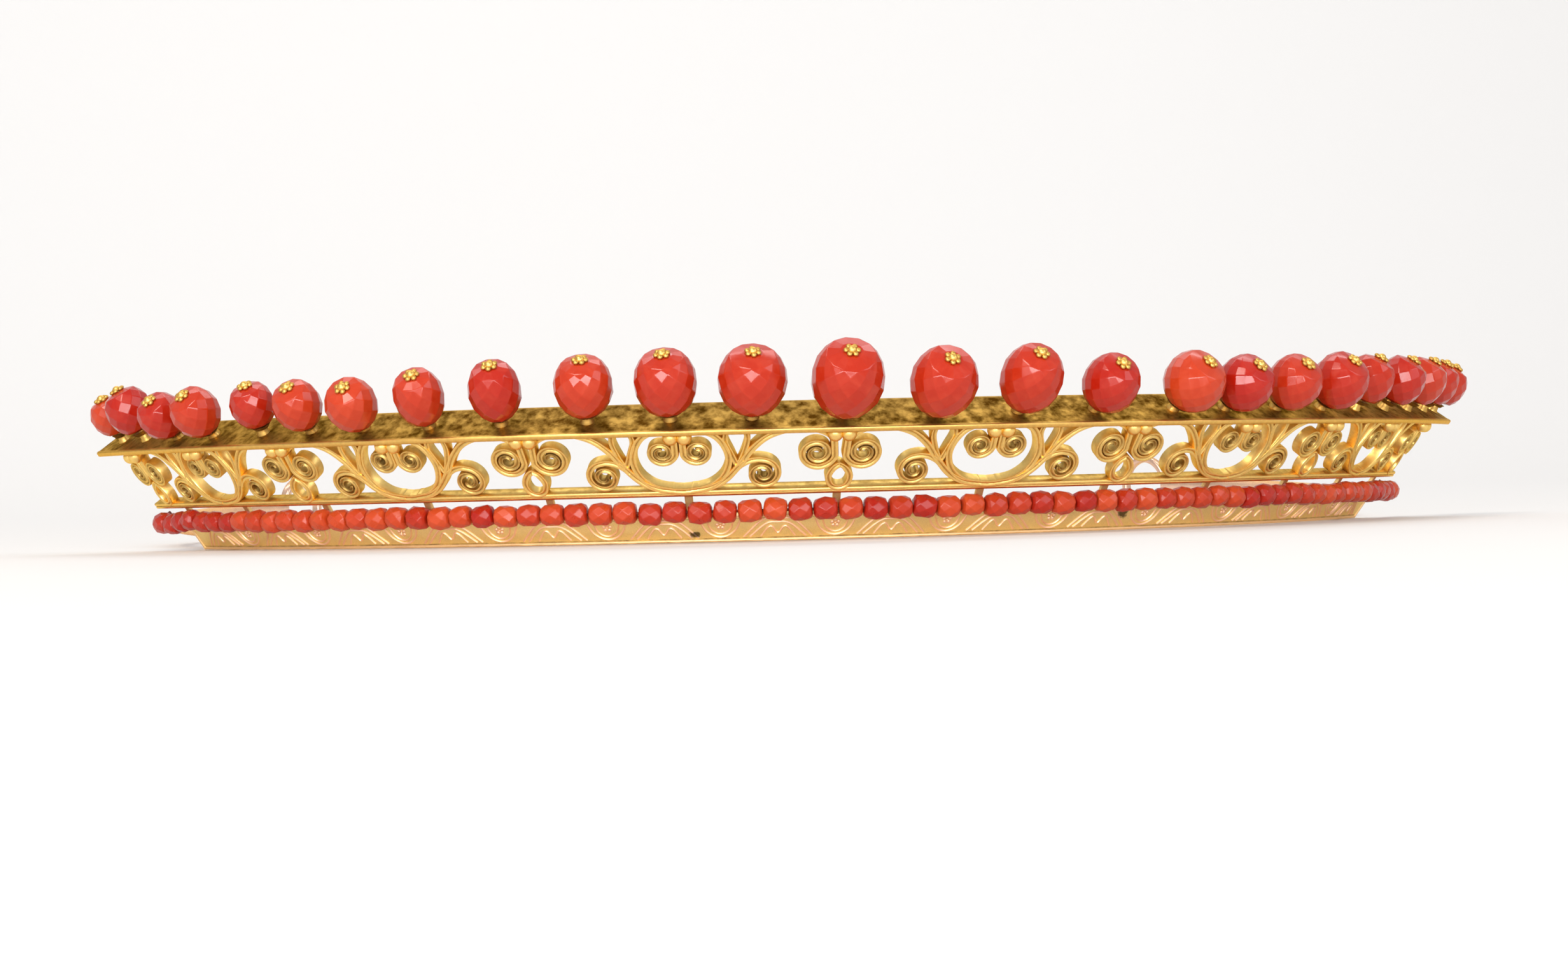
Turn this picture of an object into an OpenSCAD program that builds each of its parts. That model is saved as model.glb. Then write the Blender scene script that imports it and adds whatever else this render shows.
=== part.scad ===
// Diadem: a gilt front with a pierced scroll gallery, a row of faceted coral beads
// and a coral string over an engraved band, on an open head hoop with two end eyes.
// Millimetres. Z is up, the front faces -Y, and angles run from the front centre
// towards +X. It stands at Z = 0 on the band's lower edge and on both eyes.

/* [Head hoop] */
// Outer radius of the hoop, seen from above
hoop_r = 73; // [66:0.5:80]
// Width of the hoop wire, measured outward
wire_w = 2.3; // [1.8:0.1:3]
// Height of the hoop wire
wire_h = 1.9; // [1.5:0.1:2.6]
// Angle from the front centre to each end eye
eye_angle = 124; // [110:1:145]
// Outer diameter of an end eye
eye_d = 8.2; // [7.4:0.1:11]
// Thickness of an eye's wall round its bore
eye_rim = 0.85; // [0.6:0.05:1.5]
// Length of the short tube that an eye is cut from
eye_len = 1.2; // [0.9:0.1:2]
// How far an eye's shank reaches along the hoop, in degrees
shank = 9; // [5:1:20]
// Angle from an end of the band back to the lug that carries it
lug_inset = 4; // [2:0.5:20]
// Width of a lug along the wire
lug_w = 2.4; // [1.5:0.1:4]

/* [Wall of the front] */
// How far the wall's lower outer edge lies outside the hoop
wall_offset = 2.6; // [2.2:0.1:8]
// Angle from the front centre to each end of the rails and the string
front_half = 63; // [59:0.5:67]
// Lean of the wall outward from upright
flare = 36; // [25:1:45]

/* [Engraved band] */
// Height of the band along the wall
band_h = 3.25; // [2.5:0.05:4.5]
// Thickness of the band's plate
band_t = 0.7; // [0.5:0.05:1]
// How far each end of the band stops short of the rails, in degrees
band_short = 3; // [1:0.5:4]
// Width of the raised border
border_w = 0.32; // [0.2:0.02:0.5]
// How far border and ornament stand out of the plate
relief = 0.15; // [0.1:0.01:0.3]
// Number of chevrons and discs along the band
chevrons = 28; // [16:2:30]
// Width of the posts between band and middle rail
post_w = 0.8; // [0.5:0.1:1.2]

/* [Coral string] */
// Diameter of the string's beads
string_d = 2.4; // [1.8:0.1:2.8]
// Number of beads on each half of the string
string_half = 35; // [24:1:38]
// How far the thread lies in front of the wall
string_out = 1.15; // [1:0.05:1.6]
// Thickness of the thread
thread_d = 0.3; // [0.2:0.05:0.4]

/* [Scroll gallery] */
// Height of the middle rail along the wall
mid_h = 0.7; // [0.5:0.05:1]
// Depth of the middle rail
mid_depth = 1.3; // [1.1:0.1:2]
// Height of the open scrollwork
gallery_h = 7.8; // [6.5:0.1:9]
// Depth of the scroll strips
scroll_depth = 1.1; // [0.7:0.1:1.4]
// Thickness of the scroll strips
strip_t = 0.44; // [0.34:0.02:0.5]
// Angle from the last motif to the end of the rails
motif_room = 3; // [2:0.5:4]
// How much the motifs draw together towards the ends, as a share for each motif
motif_shrink = 0.018; // [0.01:0.001:0.02]
// Diameter of the paired granules
granule_d = 1.5; // [1:0.1:1.8]

/* [Bead rail] */
// Thickness of the rail under the beads
rail_t = 0.6; // [0.4:0.05:1]
// Depth of the rail inside the wall
rail_in = 2.7; // [1.5:0.1:3.2]
// Depth of the rail outside the wall
rail_out = 2.3; // [1.5:0.1:3]
// Height of the post under each bead cup
post_h = 0.6; // [0.4:0.05:1]
// Height of a bead cup
cup_h = 0.4; // [0.3:0.05:0.6]
// Diameter of the pin through each bead
pin_d = 0.8; // [0.5:0.05:1]
// Diameter of the floret on each pin's end
floret_d = 1.7; // [1.2:0.1:2]

/* [Coral beads] */
// Angle from the last bead to the end of the rail
bead_room = 1.9; // [1.5:0.1:3]
// How much the beads draw together towards the ends, as a share for each bead
bead_shrink = 0.0132; // [0.0108:0.0004:0.0152]
// Widest bead, across
bead_w = 7.1; // [6:0.1:7.4]
// Longest bead, along its pin
bead_len = 7.9; // [6:0.1:9]
// Sides of a bead
bead_sides = 10; // [8:1:12]

/* [Hidden] */
gap = 0.1;
sink = 0.2;
solder = 0.04;
$fn = 48;

wall_r = hoop_r + wall_offset;
eye_bore = eye_d - 2 * eye_rim;
band_half = front_half - band_short;
lug_angle = band_half - lug_inset;

// Heights along the wall, from the lower edge of the band upward
string_s = band_h + gap + string_d / 2 + 0.05;
mid_s = string_s + string_d / 2 + gap + 0.05;
// Front of the band's posts, a gap behind the string's beads
post_front = string_out - string_d / 2 - gap;
gallery_s = mid_s + mid_h;
rail_s = gallery_s + gallery_h + gap;
bead_s = rail_s + rail_t;
scroll_h = gallery_h - strip_t / 2;
// The raised lower border reaches below the wall's lower edge by this much
foot_z = relief * sin(flare);

// The hoop leans so that its eyes stand level with the lower edge of the band
wire_r = hoop_r - wire_w / 2;
wire_front_z = wire_h / 2 + gap;
hoop_lean = asin((eye_d / 2 - wire_front_z) / (wire_r * (1 - cos(eye_angle))));

// The top beads from the left end to the right one: shift of the bead's place in
// degrees, width and length as shares of the largest bead, and the lean of the
// pin to the side and outward in degrees
SHIFT = 0;
WIDTH = 1;
LENGTH = 2;
LEAN_SIDE = 3;
LEAN_OUT = 4;
BEADS = [
    [0.6, 0.60, 0.54, 4, -4],
    [0.2, 0.70, 0.66, -8, -6],
    [0.4, 0.68, 0.61, 10, 12],
    [0.2, 0.72, 0.66, 6, 12],
    [0.8, 0.65, 0.60, 5, -4],
    [0.5, 0.70, 0.65, 4, 8],
    [0.0, 0.73, 0.69, 8, 14],
    [0.0, 0.71, 0.77, 6, 8],
    [0.0, 0.73, 0.80, 5, 2],
    [0.5, 0.81, 0.78, 3, -3],
    [0.4, 0.86, 0.84, -1, -2],
    [0.0, 0.94, 0.86, 2, 0],
    [0.0, 1.00, 1.00, 2, 10],
    [0.1, 0.92, 0.90, 4, 14],
    [0.3, 0.86, 0.90, 2, 10],
    [0.4, 0.79, 0.76, 3, 14],
    [1.3, 0.87, 0.76, 8, 12],
    [0.6, 0.80, 0.72, 4, 14],
    [0.6, 0.79, 0.72, -3, 12],
    [0.8, 0.82, 0.75, -3, 9],
    [0.6, 0.72, 0.66, 8, -6],
    [0.6, 0.73, 0.68, 8, -2],
    [0.8, 0.70, 0.67, 6, -3],
    [0.7, 0.68, 0.63, 3, -5],
    [0.4, 0.64, 0.59, 6, -5]
];
bead_middle = (len(BEADS) - 1) / 2;

// A top bead's outline along its pin: height and radius as shares
BEAD_RINGS = [[-0.5, 0.40], [-0.34, 0.78], [-0.02, 1.0], [0.30, 0.84], [0.5, 0.40]];
// The same for a bead of the string, which is short and stout
STRING_RINGS = [[-0.5, 0.62], [-0.18, 1.0], [0.22, 0.97], [0.5, 0.62]];

// The scrolls of one motif, to the right of its middle: across as a share of the
// half pitch and upward as a share of the scrollwork's height
RING_SIDE = [[0.06, 0.74], [0.13, 0.88], [0.28, 0.95], [0.45, 0.88], [0.59, 0.71], [0.655, 0.48],
    [0.60, 0.26], [0.42, 0.09], [0.2, 0.02], [0, 0]];
STEM = [[0.30, 0.04], [0.50, 0.12], [0.67, 0.27], [0.79, 0.48], [0.90, 0.68], [1.03, 0.83]];
LEAF = [[0.70, 0.38], [0.69, 0.62], [0.65, 0.84], [0.73, 0.98], [0.84, 0.89], [0.82, 0.66],
    [0.75, 0.42]];
FOOT = [[-0.015, 0.40], [0.075, 0.30], [0.13, 0.17], [0.09, 0.045], [-0.03, 0]];
ARCH = [[0.09, 0.72], [0.14, 0.86], [0.32, 0.95], [0.58, 0.97], [0.80, 0.93], [1.0, 0.81]];

last_motif = 6;

function two_digits(n) = n < 10 ? str("0", n) : str(n);
function bead_name(i) = str("coral_bead_", two_digits(i + 1));

// Angle of the i-th of things that draw together towards the last one, which is at end
function spread(i, last, end, shrink) =
    end * i * (1 - shrink * abs(i)) / (last * (1 - shrink * last));
function motif_angle(i) = spread(i, last_motif, front_half - motif_room, motif_shrink);
function bead_angle(i) =
    spread(i - bead_middle, bead_middle, front_half - bead_room, bead_shrink) + BEADS[i][SHIFT];
function wall_radius(s) = wall_r + s * sin(flare);

// A closed outline of one width along a line of points
function heading(p, i) = p[min(i + 1, len(p) - 1)] - p[max(i - 1, 0)];
function side_point(p, i, w) =
    let (d = heading(p, i) / norm(heading(p, i))) p[i] + w * [-d[1], d[0]];
function strip(p, w) = concat(
    [for (i = [0:len(p) - 1]) side_point(p, i, w / 2)],
    [for (i = [len(p) - 1:-1:0]) side_point(p, i, -w / 2)]
);
// A smooth line through a few points, with k steps between each two
function at(p, i) = p[max(0, min(i, len(p) - 1))];
function blend(p, i, t) = 0.5 * (
    2 * at(p, i) + (at(p, i + 1) - at(p, i - 1)) * t
    + (2 * at(p, i - 1) - 5 * at(p, i) + 4 * at(p, i + 1) - at(p, i + 2)) * t * t
    + (3 * at(p, i) - at(p, i - 1) - 3 * at(p, i + 1) + at(p, i + 2)) * t * t * t
);
function smooth(p, k = 2) = concat(
    [for (i = [0:len(p) - 2], j = [0:k - 1]) blend(p, i, j / k)],
    [p[len(p) - 1]]
);
// A spiral from its heart outward, with its angles in degrees
function spiral(c, r0, r1, a0, a1, n) = [
    for (i = [0:n])
        let (a = a0 + (a1 - a0) * i / n, r = r0 + (r1 - r0) * pow(i / n, 0.8))
            c + r * [cos(a), sin(a)]
];
function placed(p, half_w) = [for (q = p) [q[0] * half_w, q[1] * scroll_h]];
function reversed(p) = [for (i = [len(p) - 1:-1:0]) p[i]];
function mirrored(p) = [for (q = p) [-q[0], q[1]]];
// A spiral that runs on smoothly through some points
function run_on(p, q) = concat([for (i = [0:len(p) - 2]) p[i]], smooth(concat([p[len(p) - 1]], q)));

// Puts its children on the wall: X along it, Z up it and -Y out of it
module on_wall(angle, s = 0, out = 0) {
    rotate([0, 0, angle])
        translate([0, -wall_r, 0])
            translate([0, 0, foot_z])
                rotate([flare, 0, 0])
                    translate([0, -out, s])
                        children();
}

// A section, given up and out of the wall, carried round it from -half to half degrees
module wall_profile(corners, half) {
    rotate([0, 0, -90 - half])
        rotate_extrude(angle = 2 * half)
            polygon([
                for (c = corners)
                    [wall_r + c[0] * sin(flare) + c[1] * cos(flare),
                        foot_z + c[0] * cos(flare) - c[1] * sin(flare)]
            ]);
}

// A plain strip of the same kind
module wall_strip(s0, s1, out0, out1, half) {
    wall_profile([[s0, out0], [s0, out1], [s1, out1], [s1, out0]], half);
}

// A faceted bead on the Z axis: every other ring of corners is turned half a step
module faceted_bead(w, length, rings, sides, hole) {
    n = len(rings);
    corners = [
        for (i = [0:n - 1], j = [0:sides - 1])
            let (a = 360 * (j + (i % 2) / 2) / sides)
                [rings[i][1] * w / 2 * cos(a), rings[i][1] * w / 2 * sin(a), rings[i][0] * length]
    ];
    faces = concat(
        [[for (j = [0:sides - 1]) j]],
        [[for (j = [sides - 1:-1:0]) (n - 1) * sides + j]],
        [
            for (i = [0:n - 2], j = [0:sides - 1])
                let (k = (j + 1) % sides, a = i * sides, b = a + sides)
                    i % 2 == 0 ? [a + j, b + j, a + k] : [a + j, b + j, b + k]
        ],
        [
            for (i = [0:n - 2], j = [0:sides - 1])
                let (k = (j + 1) % sides, a = i * sides, b = a + sides)
                    i % 2 == 0 ? [a + k, b + j, b + k] : [a + j, b + k, a + k]
        ]
    );
    difference() {
        polyhedron(points = corners, faces = faces);
        translate([0, 0, -length]) cylinder(h = 2 * length, d = hole);
    }
}

module in_hoop_plane() {
    translate([0, -wire_r, wire_front_z])
        rotate([hoop_lean, 0, 0])
            translate([0, wire_r, 0])
                children();
}

// The hoop's wire from one angle to another
module wire_arc(from, to) {
    rotate([0, 0, from - 90])
        rotate_extrude(angle = to - from)
            translate([wire_r, 0])
                intersection() {
                    circle(d = wire_w * 1.08);
                    square([wire_w, wire_h], center = true);
                }
}

module across_eye() {
    rotate([0, 0, eye_angle])
        translate([0, -wire_r, 0])
            rotate([90, 0, 0])
                children();
}

module lug(side) {
    lug_h = wire_h * 0.8;
    rotate([0, 0, side * lug_angle])
        translate([-lug_w / 2, -wall_radius(band_h), wire_front_z - lug_h / 2 + sink])
            cube([lug_w, wall_radius(band_h) - wire_r, lug_h]);
}

// The wire with its lugs, as far as the shanks of the eyes
module head_hoop() color("#d9a888") {
    half = eye_angle - shank;
    difference() {
        union() {
            in_hoop_plane() wire_arc(-half, half);
            for (side = [-1, 1]) lug(side);
        }
        wall_strip(-band_h, 2 * band_h, -band_t - gap, 2 * band_h, band_half + 5);
    }
}

// The short tube at an end of the hoop, which takes a tie, with its shank of the same wire
module eye(side) color("#d9a888") {
    gap_turn = gap / wire_r * 180 / PI;
    in_hoop_plane()
        mirror([side < 0 ? 1 : 0, 0, 0])
            difference() {
                union() {
                    wire_arc(eye_angle - shank + gap_turn,
                        eye_angle - asin((eye_d - eye_rim) / 2 / wire_r));
                    across_eye() cylinder(h = eye_len, d = eye_d, center = true);
                }
                across_eye() cylinder(h = 4 * wire_w, d = eye_bore, center = true);
            }
}
module eye_left() { eye(-1); }
module eye_right() { eye(1); }

// A raised line, a little lower than the border that it runs out in
module ornament_bar(angle, lean, length) {
    rise = 0.75 * relief;
    on_wall(angle, band_h / 2, -sink)
        rotate([0, lean, 0])
            translate([-border_w / 2, -rise - sink, -length / 2])
                cube([border_w, rise + sink, length]);
}

module engraved_band() color("#e2ad64") {
    step = 2 * band_half / chevrons;
    bar_l = band_h - 2 * border_w;
    end_turn = band_half - atan(border_w / wall_r);
    inner = band_h - border_w;
    wall_profile([
        [0, -band_t], [0, relief], [border_w, relief], [border_w, 0],
        [inner, 0], [inner, relief], [band_h, relief], [band_h, -band_t]
    ], band_half);
    for (i = [0:chevrons - 1]) {
        a = -band_half + (i + 0.5) * step;
        if (i % 2 == 0) {
            ornament_bar(a - step * 0.22, 32, bar_l);
            ornament_bar(a + step * 0.22, -32, bar_l);
        } else {
            on_wall(a, band_h / 2) rotate([90, 0, 0])
                translate([0, 0, -sink]) cylinder(h = 0.75 * relief + sink, d = band_h / 3);
        }
    }
    for (side = [-1, 1]) ornament_bar(side * end_turn, 0, bar_l + border_w);
    for (i = [-last_motif:last_motif])
        on_wall(motif_angle(i) * band_half / (motif_angle(last_motif) + 1.5), 0, -band_t)
            translate([-post_w / 2, -band_t - post_front, band_h - sink])
                cube([post_w, band_t + post_front - gap, mid_s - gap - band_h + sink]);
}

// Size of the string's i-th bead, which wanders a little from bead to bead
function stoutness(i) = 0.97 + 0.03 * sin(i * 137);

module string_beads(side) color("#cc4236") {
    r = wall_radius(string_s) + string_out * cos(flare);
    step = front_half / string_half;
    length = r * step * PI / 180 - gap - 0.05;
    for (i = [0:string_half - 1])
        on_wall(side * (i + 0.5) * step, string_s, string_out)
            rotate([0, 90, 0]) rotate([0, 0, i * 50])
                faceted_bead(string_d * stoutness(i), length, STRING_RINGS, 8, thread_d * 2);
}
module coral_string_left() { string_beads(-1); }
module coral_string_right() { string_beads(1); }

module string_thread() color("#7a3a2c") {
    r = wall_radius(string_s) + string_out * cos(flare);
    z = foot_z + string_s * cos(flare) - string_out * sin(flare);
    half = front_half + 0.4;
    rotate([0, 0, -90 - half])
        rotate_extrude(angle = 2 * half)
            translate([r, z]) circle(d = thread_d);
    for (i = [-1, 1])
        on_wall(i * half, string_s, string_out)
            rotate([-90, 0, 0]) cylinder(h = string_out + band_t, d = thread_d * 1.5);
}

// One strip of the gallery's scrollwork, drawn flat and given its depth
module ribbon(points) {
    polygon(strip(points, strip_t));
}

// Strips that touch run together, and pinholes between them close
module soldered() {
    offset(delta = -solder) offset(delta = solder) children();
}

// Half of a lyre, right of its middle: the ring's side, which curls in at the top
// by as many turns as its strip leaves room for
function ring_side(half_w) =
    let (
        heart = [0.25 * half_w, 0.60 * scroll_h],
        r = min(0.19 * scroll_h, heart[0] - strip_t / 2 - 0.15),
        turns = min(1.45, 0.8 * (r - 0.32) / (strip_t + 0.06))
    )
        run_on(spiral(heart, 0.32, r, 180 + 360 * turns, 180, 13), placed(RING_SIDE, half_w));

// A ring that opens under the granules
module lyre_ring(left_w, right_w) {
    right = ring_side(right_w);
    left = reversed(mirrored(ring_side(left_w)));
    ribbon(concat(right, [for (i = [1:len(left) - 1]) left[i]]));
}

// The stem of the arch, a leaf loop and the curl that sits on the middle rail
module lyre_branches(half_w) {
    r = 0.18 * scroll_h;
    curl = [half_w - r - strip_t / 2, r];
    ribbon(smooth(placed(STEM, half_w)));
    ribbon(smooth(placed(LEAF, half_w)));
    ribbon(spiral(curl, 0.3, r, -400, 80, 11));
    ribbon(smooth([
        curl + [0.2 * r, 0.98 * r],
        [max(curl[0] - 0.7 * r, 0.72 * half_w), curl[1] + 0.9 * r],
        [0.67 * half_w, 0.22 * scroll_h]
    ]));
}

// Half of a B motif: the arch that comes in from the lyre beside it and curls
// round into the large spiral
module scroll_half(half_w, with_arch) {
    heart = [0.34 * half_w, 0.60 * scroll_h];
    r = min(0.24 * scroll_h, heart[0] - 0.09 * half_w);
    last = with_arch ? len(ARCH) - 1 : 2;
    ribbon(run_on(
        spiral(heart, 0.34, r, 380, -180, 13),
        placed([for (i = [0:last]) ARCH[i]], half_w)
    ));
}

// The small pointed loop that stands on the middle rail between two large spirals
module foot_loop() {
    for (side = [0, 1]) mirror([side, 0]) ribbon(smooth(scroll_h * FOOT));
}

module granules() {
    spread_x = granule_d * 0.42;
    translate([-granule_d * 0.6, -scroll_depth * 0.4, gallery_h - granule_d * 0.55])
        cube([granule_d * 1.2, scroll_depth * 0.8, granule_d * 0.55]);
    for (side = [-1, 1])
        translate([side * spread_x, -scroll_depth * 0.55, gallery_h - granule_d * 0.72])
            sphere(d = granule_d);
}

module motif(i) {
    angle = motif_angle(i);
    wide = wall_radius(gallery_s + gallery_h * 0.7);
    left_w = wide * tan((angle - motif_angle(i - 1)) / 2);
    right_w = wide * tan((motif_angle(i + 1) - angle) / 2);
    is_lyre = i % 2 != 0;
    on_wall(angle, gallery_s) {
        rotate([90, 0, 0])
            linear_extrude(height = scroll_depth, center = true)
                soldered() {
                    if (is_lyre) {
                        lyre_ring(left_w, right_w);
                        lyre_branches(right_w);
                        mirror([1, 0]) lyre_branches(left_w);
                    } else {
                        scroll_half(right_w, i < last_motif);
                        mirror([1, 0]) scroll_half(left_w, i > -last_motif);
                        foot_loop();
                    }
                }
        granules();
    }
}

module scroll_gallery() color("#d9a441") {
    wall_strip(mid_s, gallery_s, -mid_depth / 2 - 0.2, mid_depth / 2 - 0.2, front_half);
    for (i = [-last_motif:last_motif]) motif(i);
}

// A cross of four small lobes round a ball, soldered on the end of a pin
module floret() {
    lobe = floret_d * 0.42;
    for (a = [0:90:270])
        rotate([0, 0, a]) translate([floret_d / 2 - lobe / 2, 0, 0]) cylinder(h = 0.3, d = lobe);
    translate([0, 0, 0.2]) sphere(d = floret_d * 0.5);
}

// Turns its children as the i-th bead's pin leans, with the foot of its post at 0
module on_pin(i) {
    on_wall(bead_angle(i), bead_s)
        rotate([BEADS[i][LEAN_OUT], BEADS[i][LEAN_SIDE], 0])
            children();
}

module bead_rail() color("#c9994a") {
    wall_strip(rail_s, bead_s, -rail_in, rail_out, front_half);
}

// The post and cup under a bead, the pin through it and the floret on the pin's end.
// The post's foot is cut level with the rail that it stands on
module bead_pin(i) {
    length = bead_len * BEADS[i][LENGTH];
    cup_w = bead_w * BEADS[i][WIDTH] * 0.36;
    post_d = pin_d * 1.7;
    top = post_h + cup_h + length + 2 * gap;
    difference() {
        on_pin(i) {
            translate([0, 0, sink]) cylinder(h = top, d = pin_d);
            translate([0, 0, -2 * sink]) cylinder(h = post_h + 2.5 * sink, d = post_d);
            translate([0, 0, post_h]) cylinder(h = cup_h, d1 = pin_d * 1.9, d2 = cup_w);
            translate([0, 0, top]) floret();
        }
        on_wall(bead_angle(i), bead_s + gap)
            translate([-post_d, -post_d, -post_d]) cube([2 * post_d, 2 * post_d, post_d]);
    }
}
module bead_pins() color("#c9994a") {
    for (i = [0:len(BEADS) - 1]) bead_pin(i);
}

module coral_bead(i) color("#cc4236") {
    length = bead_len * BEADS[i][LENGTH];
    on_pin(i)
        translate([0, 0, post_h + cup_h + gap + length / 2])
            rotate([0, 0, i * 40])
                faceted_bead(bead_w * BEADS[i][WIDTH], length, BEAD_RINGS, bead_sides,
                    pin_d + 2 * gap);
}

head_hoop();
eye_left();
eye_right();
engraved_band();
coral_string_left();
coral_string_right();
string_thread();
scroll_gallery();
bead_rail();
bead_pins();
for (i = [0:len(BEADS) - 1])
    coral_bead(i);
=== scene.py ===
"""Dresses the diadem's frame: gilt scroll strips, cut coral, an engraved band and a soft studio."""

import math

import bmesh
import bpy
import numpy as np
from mathutils import Matrix


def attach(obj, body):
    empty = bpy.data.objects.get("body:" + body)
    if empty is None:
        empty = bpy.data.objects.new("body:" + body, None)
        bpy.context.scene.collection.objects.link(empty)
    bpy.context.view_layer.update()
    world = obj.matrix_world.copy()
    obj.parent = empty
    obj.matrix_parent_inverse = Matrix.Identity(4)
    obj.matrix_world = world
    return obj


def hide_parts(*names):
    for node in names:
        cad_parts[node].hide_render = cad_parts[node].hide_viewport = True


bl_info = {
    "name": "Coral Diadem",
    "version": (1, 0, 0),
    "blender": (4, 5, 0),
    "location": "3D View > Sidebar > Diadem",
    "description": "Builds the gilt and coral pieces of a diadem on its frame",
    "category": "Object",
}

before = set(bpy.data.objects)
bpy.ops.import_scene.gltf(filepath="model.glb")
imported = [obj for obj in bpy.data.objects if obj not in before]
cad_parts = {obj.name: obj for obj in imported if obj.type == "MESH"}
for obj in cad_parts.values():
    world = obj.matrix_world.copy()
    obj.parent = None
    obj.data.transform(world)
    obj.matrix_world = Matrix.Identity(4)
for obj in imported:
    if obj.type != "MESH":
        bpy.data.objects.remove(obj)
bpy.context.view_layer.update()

# Clear space between two pieces, and above and below the string, in mm
GAP, STRING_GAP = 0.1, 0.15

# The top beads from the left end to the right one: shift of the bead's place in degrees,
# width and length as shares of the largest bead, and the lean of the pin to the side and
# outward in degrees
SHIFT, WIDTH, LENGTH, LEAN_SIDE, LEAN_OUT = range(5)
BEADS = np.array([
    [0.6, 0.60, 0.54, 4, -4],
    [0.2, 0.70, 0.66, -8, -6],
    [0.4, 0.68, 0.61, 10, 12],
    [0.2, 0.72, 0.66, 6, 12],
    [0.8, 0.65, 0.60, 5, -4],
    [0.5, 0.70, 0.65, 4, 8],
    [0.0, 0.73, 0.69, 8, 14],
    [0.0, 0.71, 0.77, 6, 8],
    [0.0, 0.73, 0.80, 5, 2],
    [0.5, 0.81, 0.78, 3, -3],
    [0.4, 0.86, 0.84, -1, -2],
    [0.0, 0.94, 0.86, 2, 0],
    [0.0, 1.00, 1.00, 2, 10],
    [0.1, 0.92, 0.90, 4, 14],
    [0.3, 0.86, 0.90, 2, 10],
    [0.4, 0.79, 0.76, 3, 14],
    [1.3, 0.87, 0.76, 8, 12],
    [0.6, 0.80, 0.72, 4, 14],
    [0.6, 0.79, 0.72, -3, 12],
    [0.8, 0.82, 0.75, -3, 9],
    [0.6, 0.72, 0.66, 8, -6],
    [0.6, 0.73, 0.68, 8, -2],
    [0.8, 0.70, 0.67, 6, -3],
    [0.7, 0.68, 0.63, 3, -5],
    [0.4, 0.64, 0.59, 6, -5],
])

# The scrolls between the middle of a lyre (across 0) and the middle of the next pair of
# large spirals (across 1), with heights as shares of the scrollwork's height
RING = [[0, 0.0], [0.09, 0.02], [0.19, 0.09], [0.27, 0.25], [0.305, 0.47], [0.29, 0.68],
        [0.235, 0.87], [0.155, 0.965], [0.08, 0.945], [0.034, 0.85], [0.022, 0.74]]
STEM = [[0.05, 0.015], [0.17, 0.05], [0.28, 0.18], [0.375, 0.42], [0.46, 0.68], [0.56, 0.87],
        [0.70, 0.97], [0.84, 0.955], [0.935, 0.85], [0.972, 0.70]]
LEAF = [[0.355, 0.40], [0.322, 0.60], [0.290, 0.80], [0.305, 0.94], [0.36, 1.0], [0.412, 0.94],
        [0.425, 0.80], [0.40, 0.60], [0.362, 0.40]]
CURL = [[0.335, 0.31], [0.375, 0.40], [0.43, 0.468], [0.485, 0.492]]
FOOT = [[0.0, 0.38], [0.085, 0.31], [0.145, 0.18], [0.105, 0.045], [0, 0], [-0.105, 0.045],
        [-0.145, 0.18], [-0.085, 0.31], [0.0, 0.38]]

# One unit of the band's raised lines: across in shares of a unit from the middle of its
# peak, and up the band in shares of the field's height
PEAK_OUTER = [[-0.30, 0.05], [-0.13, 0.93], [0.0, 0.95], [0.13, 0.93], [0.30, 0.05]]
PEAK_MIDDLE = [[-0.245, 0.05], [-0.10, 0.73], [0.0, 0.80], [0.10, 0.73], [0.245, 0.05]]
PEAK_INNER = [[-0.15, 0.06], [-0.065, 0.60], [0.0, 0.22], [0.065, 0.60], [0.15, 0.06]]
CUP_OUTER = [[0.325, 0.93], [0.365, 0.45], [0.43, 0.16], [0.50, 0.07], [0.57, 0.16],
             [0.635, 0.45], [0.675, 0.93]]
CUP_INNER = [[0.385, 0.93], [0.41, 0.52], [0.455, 0.30], [0.50, 0.24], [0.545, 0.30],
             [0.59, 0.52], [0.615, 0.93]]

# Dark stains on the band: angle from the front centre, height as a share of the band's, and
# width in mm
STAINS = ((-10.6, 0.28, 0.55), (23.6, 0.66, 0.75))

# The cut of a large and of a small top bead: lozenges round it, and the heights of its rings
# from the middle to the end as shares of half its length. A bead is large above this width.
LARGE = 0.78
LARGE_CUT = 12, (0, 0.28, 0.54, 0.76, 0.90, 1.0)
SMALL_CUT = 10, (0, 0.33, 0.63, 0.89, 1.0)

# The rings of a string's bead: radius and height as shares of its diameter and length
STRING_SIDES = 7
STRING_RINGS = np.array([[0.26, -0.5], [0.40, -0.44], [0.475, -0.28], [0.5, 0.0],
                         [0.475, 0.28], [0.40, 0.44], [0.26, 0.5]])


def linear(text):
    """An sRGB hex colour as linear red, green, blue and alpha."""
    c = np.array([int(text[i:i + 2], 16) for i in (1, 3, 5)]) / 255
    c = np.where(c <= 0.04045, c / 12.92, ((c + 0.055) / 1.055) ** 2.4)
    return (*[float(v) for v in c], 1.0)


def millimetres(name, text, default):
    """A length in millimetres that the panel shows."""
    return bpy.props.FloatProperty(name=name, description=text, default=default, min=0.01)


def degrees(name, text, default):
    """An angle in degrees that the panel shows."""
    return bpy.props.FloatProperty(name=name, description=text, default=default)


def proportion(name, text, default):
    """A share that the panel shows."""
    return bpy.props.FloatProperty(name=name, description=text, default=default, precision=4)


def colour(name, text, default):
    """A colour that the panel shows, given as sRGB hex."""
    return bpy.props.FloatVectorProperty(
        name=name, description=text, subtype="COLOR", size=4, min=0, max=1, default=linear(default))


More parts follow.
